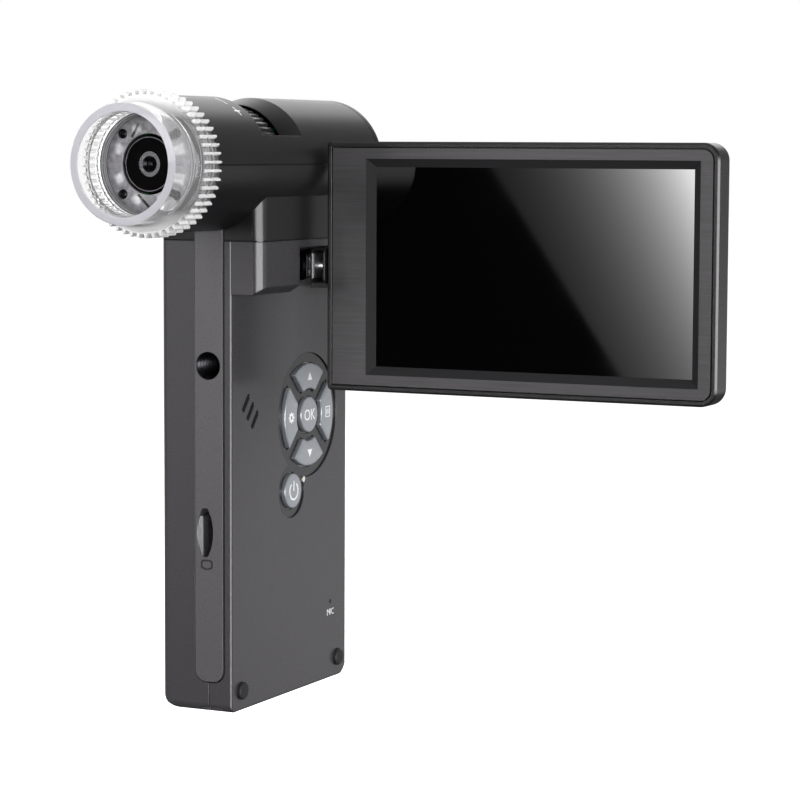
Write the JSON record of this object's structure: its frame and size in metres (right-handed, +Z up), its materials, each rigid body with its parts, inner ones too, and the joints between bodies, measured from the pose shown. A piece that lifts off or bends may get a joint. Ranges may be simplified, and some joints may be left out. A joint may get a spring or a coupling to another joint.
{
  "type": "lcd digital microscope",
  "caption": "Hand-held digital microscope: upright grip with keypad, barrel with ring-lit lens, clear distance cap and focus wheel, and a fold-and-swivel screen.",
  "frame": {"origin": "centre of the tripod socket's mouth in the grip's front face", "axes": "+Z up along the grip, -Y forwards out of the lens along the barrel, +X to the user's right towards the screen"},
  "size_m": [0.1273, 0.0948, 0.1405],
  "materials": {
    "shell_plastic": "fine moulded texture",
    "trim_plastic": "fine moulded texture",
    "barrel_plastic": "satin moulded",
    "clear_plastic": "clear with a frosted rim",
    "wheel_plastic": "ribbed",
    "lens_black": "gloss",
    "lens_metal": "turned",
    "lens_coat": "polished",
    "lamp_frost": "frosted",
    "lamp_white": "moulded",
    "steel": "bright",
    "black_steel": "blackened",
    "bush_plastic": "moulded",
    "screen_plastic": "satin moulded",
    "screen_face": "brushed look",
    "display_glass": "polished black",
    "panel_black": "display module",
    "keypad_plastic": "satin moulded",
    "key_silver": "silver paint",
    "light_pipe": "clear",
    "rubber": "moulded",
    "board_green": "solder mask",
    "battery_wrap": "foil pouch",
    "part_black": "moulded"
  },
  "bodies": {
    "grip": {"left_shell": "shell_plastic", "right_shell": "shell_plastic", "front_strip": "trim_plastic", "tripod_insert": "black_steel", "barrel_base": "barrel_plastic", "barrel_top": "barrel_plastic", "rear_cap": "barrel_plastic", "lens_guide": "part_black", "sensor_board": "board_green", "lamp_housing": "barrel_plastic", "lamp_plate": "lamp_frost", "lamp_board": "board_green", "lamps": "lamp_white", "plate_screws": "black_steel", "hinge_bracket": "black_steel", "fold_pin": "black_steel", "keypad_frame": "keypad_plastic", "key_switches": "part_black", "status_light": "light_pipe", "bumper_feet": "rubber", "case_screws": "black_steel", "main_board": "board_green", "battery": "battery_wrap", "card_socket": "steel", "speaker": "part_black", "microphone": "part_black", "usb_socket": "steel"},
    "wheel": {"focus_wheel": "wheel_plastic"},
    "lens": {"lens_barrel": "lens_black", "lens_ring": "lens_metal", "lens_glass": "lens_coat"},
    "cap": {"nose_cap": "clear_plastic"},
    "arm": {"hinge_arm": "steel", "hinge_cover": "shell_plastic", "swivel_shaft": "steel"},
    "screen": {"screen_back": "screen_plastic", "screen_frame": "screen_face", "lcd_glass": "display_glass", "lcd_panel": "panel_black", "screen_board": "board_green", "swivel_bush": "bush_plastic"},
    "ok_key": {"ok_button": "key_silver"},
    "up_key": {"up_button": "key_silver"},
    "down_key": {"down_button": "key_silver"},
    "left_key": {"left_button": "key_silver"},
    "right_key": {"right_button": "key_silver"},
    "power_key": {"power_button": "key_silver"}
  },
  "joints": [
    {"name": "screen_fold", "type": "hinge", "parent": "grip", "child": "arm", "pos_m": [0.0103, 0.0284, 0.0219], "axis": [0, 1, 0], "range_deg": [0, 20]},
    {"name": "screen_swivel", "type": "hinge", "parent": "arm", "child": "screen", "pos_m": [0.0171, 0.0284, 0.0219], "axis": [1, 0, 0], "range_deg": [-90, 180]},
    {"name": "focus_turn", "type": "hinge", "parent": "grip", "child": "wheel", "pos_m": [0.0006, 0, 0.0453], "axis": [0, 1, 0], "range_deg": [-150, 150]},
    {"name": "lens_travel", "type": "slide", "parent": "grip", "child": "lens", "axis": [0, -1, 0], "range_m": [-0.0034, 0.0034]},
    {"name": "cap_pull", "type": "slide", "parent": "grip", "child": "cap", "axis": [0, -1, 0], "range_m": [0, 0.012]},
    {"name": "ok_press", "type": "slide", "parent": "grip", "child": "ok_key", "axis": [-1, 0, 0], "range_m": [0, 0.00035], "stiffness_N_per_m": 60, "springref_m": -0.002},
    {"name": "up_press", "type": "slide", "parent": "grip", "child": "up_key", "axis": [-1, 0, 0], "range_m": [0, 0.00035], "stiffness_N_per_m": 60, "springref_m": -0.002},
    {"name": "down_press", "type": "slide", "parent": "grip", "child": "down_key", "axis": [-1, 0, 0], "range_m": [0, 0.00035], "stiffness_N_per_m": 60, "springref_m": -0.002},
    {"name": "left_press", "type": "slide", "parent": "grip", "child": "left_key", "axis": [-1, 0, 0], "range_m": [0, 0.00035], "stiffness_N_per_m": 60, "springref_m": -0.002},
    {"name": "right_press", "type": "slide", "parent": "grip", "child": "right_key", "axis": [-1, 0, 0], "range_m": [0, 0.00035], "stiffness_N_per_m": 60, "springref_m": -0.002},
    {"name": "power_press", "type": "slide", "parent": "grip", "child": "power_key", "axis": [-1, 0, 0], "range_m": [0, 0.00035], "stiffness_N_per_m": 60, "springref_m": -0.002}
  ],
  "couplings": [
    {"joint": "lens_travel", "follows": "focus_turn", "m_per_rad": 0.00127}
  ]
}
